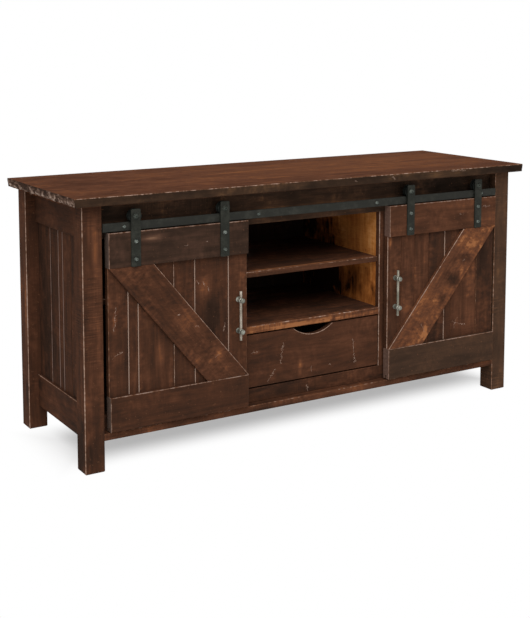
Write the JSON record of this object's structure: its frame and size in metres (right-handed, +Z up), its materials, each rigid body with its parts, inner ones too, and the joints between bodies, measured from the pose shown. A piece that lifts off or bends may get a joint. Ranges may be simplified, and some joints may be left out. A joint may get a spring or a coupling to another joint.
{
  "type": "tv stand",
  "caption": "Rustic wooden tv stand with sliding barn doors hung from a flat steel bar, open centre shelves and a drawer with a scooped pull.",
  "frame": {"origin": "on the floor under the middle of the top's outline", "axes": "+X to the right as one faces the doors, +Y to the back, +Z up"},
  "size_m": [1.74, 0.576, 0.838],
  "materials": {
    "stained_wood": "dark red-brown stain, satin",
    "top_wood": "red-brown stain, satin lacquer",
    "inside_wood": "golden brown stain, satin",
    "back_plywood": "dark stained plywood",
    "dark_steel": "dark grey-green powder coat",
    "pewter": "aged pewter",
    "zinc": "zinc plated",
    "nylon": "moulded"
  },
  "bodies": {
    "frame": {"apron": "stained_wood", "back_bottom_rail": "inside_wood", "back_panels": "back_plywood", "back_top_rail": "inside_wood", "bottom_panel": "inside_wood", "door_guides": "nylon", "door_ledge": "stained_wood", "drawer_slide_outers": "zinc", "fixed_shelf": "stained_wood", "front_bottom_rail": "stained_wood", "front_left_leg": "stained_wood", "front_right_leg": "stained_wood", "left_face_stile": "stained_wood", "left_partition": "inside_wood", "left_side_bottom_rail": "stained_wood", "left_side_planks": "stained_wood", "left_side_top_rail": "stained_wood", "rear_left_leg": "stained_wood", "rear_right_leg": "stained_wood", "right_face_stile": "stained_wood", "right_partition": "inside_wood", "right_side_bottom_rail": "stained_wood", "right_side_planks": "stained_wood", "right_side_top_rail": "stained_wood", "shelf_pins": "zinc", "top": "top_wood", "top_cleats": "inside_wood", "track_bar": "dark_steel", "track_bolts": "dark_steel", "track_spacers": "dark_steel"},
    "drawer": {"drawer_front": "stained_wood", "drawer_left_side": "inside_wood", "drawer_right_side": "inside_wood", "drawer_back": "inside_wood", "drawer_bottom": "back_plywood", "drawer_slide_inners": "zinc"},
    "drawer_slide_middle": {"drawer_slide_middles": "zinc"},
    "centre_shelf_board": {"centre_shelf": "stained_wood"},
    "left_shelf_board": {"left_shelf": "stained_wood"},
    "right_shelf_board": {"right_shelf": "stained_wood"},
    "left_door": {"left_door_top_rail": "stained_wood", "left_door_bottom_rail": "stained_wood", "left_door_planks": "stained_wood", "left_door_brace": "stained_wood", "left_door_straps": "dark_steel", "left_door_strap_screws": "dark_steel", "left_door_axle_bolts": "dark_steel", "left_door_handle": "pewter"},
    "left_outer_roller": {"left_door_outer_wheel": "dark_steel"},
    "left_inner_roller": {"left_door_inner_wheel": "dark_steel"},
    "right_door": {"right_door_top_rail": "stained_wood", "right_door_bottom_rail": "stained_wood", "right_door_planks": "stained_wood", "right_door_brace": "stained_wood", "right_door_straps": "dark_steel", "right_door_strap_screws": "dark_steel", "right_door_axle_bolts": "dark_steel", "right_door_handle": "pewter"},
    "right_outer_roller": {"right_door_outer_wheel": "dark_steel"},
    "right_inner_roller": {"right_door_inner_wheel": "dark_steel"}
  },
  "joints": [
    {"name": "left_door_slide", "type": "slide", "parent": "frame", "child": "left_door", "axis": [-1, 0, 0], "range_m": [-0.274, 0.015]},
    {"name": "left_outer_wheel_spin", "type": "hinge", "parent": "left_door", "child": "left_outer_roller", "pos_m": [-0.666, -0.255, 0.7698], "axis": [0, 1, 0], "range_deg": [-55, 954]},
    {"name": "left_inner_wheel_spin", "type": "hinge", "parent": "left_door", "child": "left_inner_roller", "pos_m": [-0.362, -0.255, 0.7698], "axis": [0, 1, 0], "range_deg": [-55, 954]},
    {"name": "right_door_slide", "type": "slide", "parent": "frame", "child": "right_door", "axis": [1, 0, 0], "range_m": [-0.2845, 0.0045]},
    {"name": "right_inner_wheel_spin", "type": "hinge", "parent": "right_door", "child": "right_inner_roller", "pos_m": [0.3725, -0.255, 0.7698], "axis": [0, 1, 0], "range_deg": [-990, 18]},
    {"name": "right_outer_wheel_spin", "type": "hinge", "parent": "right_door", "child": "right_outer_roller", "pos_m": [0.6765, -0.255, 0.7698], "axis": [0, 1, 0], "range_deg": [-990, 18]},
    {"name": "drawer_slide", "type": "slide", "parent": "frame", "child": "drawer", "axis": [0, -1, 0], "range_m": [0, 0.35]},
    {"name": "drawer_middle_slide", "type": "slide", "parent": "frame", "child": "drawer_slide_middle", "axis": [0, -1, 0], "range_m": [0, 0.175]},
    {"name": "centre_shelf_lift", "type": "slide", "parent": "frame", "child": "centre_shelf_board", "axis": [0, 0, 1], "range_m": [0, 0.035]},
    {"name": "left_shelf_lift", "type": "slide", "parent": "frame", "child": "left_shelf_board", "axis": [0, 0, 1], "range_m": [0, 0.067]},
    {"name": "right_shelf_lift", "type": "slide", "parent": "frame", "child": "right_shelf_board", "axis": [0, 0, 1], "range_m": [0, 0.067]}
  ],
  "couplings": [
    {"joint": "left_outer_wheel_spin", "follows": "left_door_slide", "rad_per_m": -60.606},
    {"joint": "left_inner_wheel_spin", "follows": "left_door_slide", "rad_per_m": -60.606},
    {"joint": "right_inner_wheel_spin", "follows": "right_door_slide", "rad_per_m": 60.606},
    {"joint": "right_outer_wheel_spin", "follows": "right_door_slide", "rad_per_m": 60.606},
    {"joint": "drawer_middle_slide", "follows": "drawer_slide", "ratio": 0.5}
  ]
}
